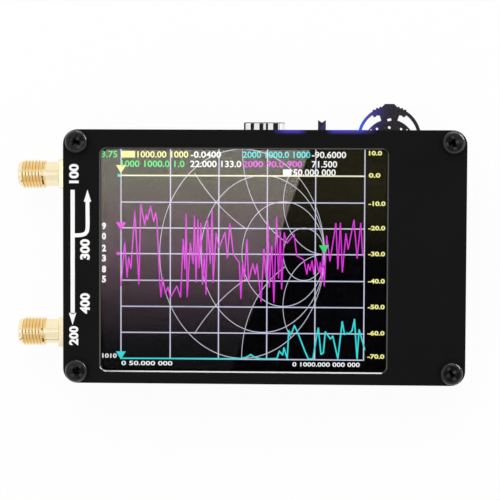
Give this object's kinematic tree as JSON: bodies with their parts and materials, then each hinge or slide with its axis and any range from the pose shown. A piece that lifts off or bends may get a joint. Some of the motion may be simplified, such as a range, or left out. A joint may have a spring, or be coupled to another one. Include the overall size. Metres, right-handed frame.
{
  "type": "antenna analyzer",
  "caption": "Pocket antenna analyzer: black sheets on brass spacers, colour touch screen, gold threaded ports, USB-C socket, slide switch and jog lever.",
  "frame": {"origin": "bottom centre of the whole object's box, in the plane of the rear screw heads' flats", "axes": "+Z out of the screen, +X to the right as the screen is read, away from the coaxial ports, +Y towards the edge with the USB socket and levers"},
  "size_m": [0.096, 0.06, 0.0144],
  "materials": {
    "sheet_black": "satin black lacquer on glass-fibre sheet",
    "board_black": "satin black lacquer on glass-fibre sheet",
    "screw_black": "black oxide",
    "spacer_brass": "turned",
    "touch_glass": "polished",
    "display_glass": "polished",
    "pressed_steel": "tin plated",
    "light_guide": "clear moulded",
    "foam_tape": "foam",
    "amber_film": "film",
    "gold_plate": "gold plated",
    "white_insulator": "turned",
    "black_plastic": "moulded",
    "lever_black": "moulded, satin",
    "pouch_foil": "laminated foil",
    "wire_red": "extruded",
    "wire_black": "extruded",
    "cream_plastic": "moulded",
    "chip_black": "moulded",
    "chip_ceramic": "fired",
    "blue_lamp": "clear moulded"
  },
  "bodies": {
    "chassis": {"front_panel": "sheet_black", "back_panel": "sheet_black", "main_board": "board_black", "front_screws": "screw_black", "rear_screws": "screw_black", "front_standoffs": "spacer_brass", "rear_standoffs": "spacer_brass", "touch_panel": "touch_glass", "lcd_cell": "display_glass", "lcd_tray": "pressed_steel", "backlight": "light_guide", "lcd_tape": "foam_tape", "lcd_flex": "amber_film", "port_1_shell": "gold_plate", "port_2_shell": "gold_plate", "port_1_insulator": "white_insulator", "port_2_insulator": "white_insulator", "port_1_contact": "gold_plate", "port_2_contact": "gold_plate", "usb_shell": "pressed_steel", "usb_insulator": "black_plastic", "usb_contacts": "gold_plate", "slide_switch_case": "pressed_steel", "slide_switch_base": "black_plastic", "slide_switch_terminals": "pressed_steel", "jog_base": "black_plastic", "jog_cover": "pressed_steel", "jog_spring": "pressed_steel", "jog_terminals": "pressed_steel", "battery_cell": "pouch_foil", "battery_guard": "amber_film", "battery_tape": "foam_tape", "lead_red": "wire_red", "lead_black": "wire_black", "battery_plug": "cream_plastic", "battery_header": "cream_plastic", "shield_frame": "pressed_steel", "shield_lid": "pressed_steel", "processor": "chip_black", "signal_chips": "chip_black", "passives": "chip_ceramic", "crystal": "pressed_steel", "status_leds": "blue_lamp"},
    "power_lever": {"slide_switch_lever": "lever_black"},
    "jog_press": {"jog_carrier": "black_plastic"},
    "jog_rocker": {"jog_lever": "lever_black"}
  },
  "joints": [
    {"name": "power_slide", "type": "slide", "parent": "chassis", "child": "power_lever", "axis": [-1, 0, 0], "range_m": [0, 0.002]},
    {"name": "jog_push", "type": "slide", "parent": "chassis", "child": "jog_press", "axis": [0, -1, 0], "range_m": [0, 0.0005], "stiffness_N_per_m": 1000},
    {"name": "jog_rock", "type": "hinge", "parent": "jog_press", "child": "jog_rocker", "pos_m": [0.032, 0.0211, 0.00463], "axis": [0, 0, 1], "range_deg": [-13, 13], "stiffness_Nm_per_rad": 0.02}
  ]
}
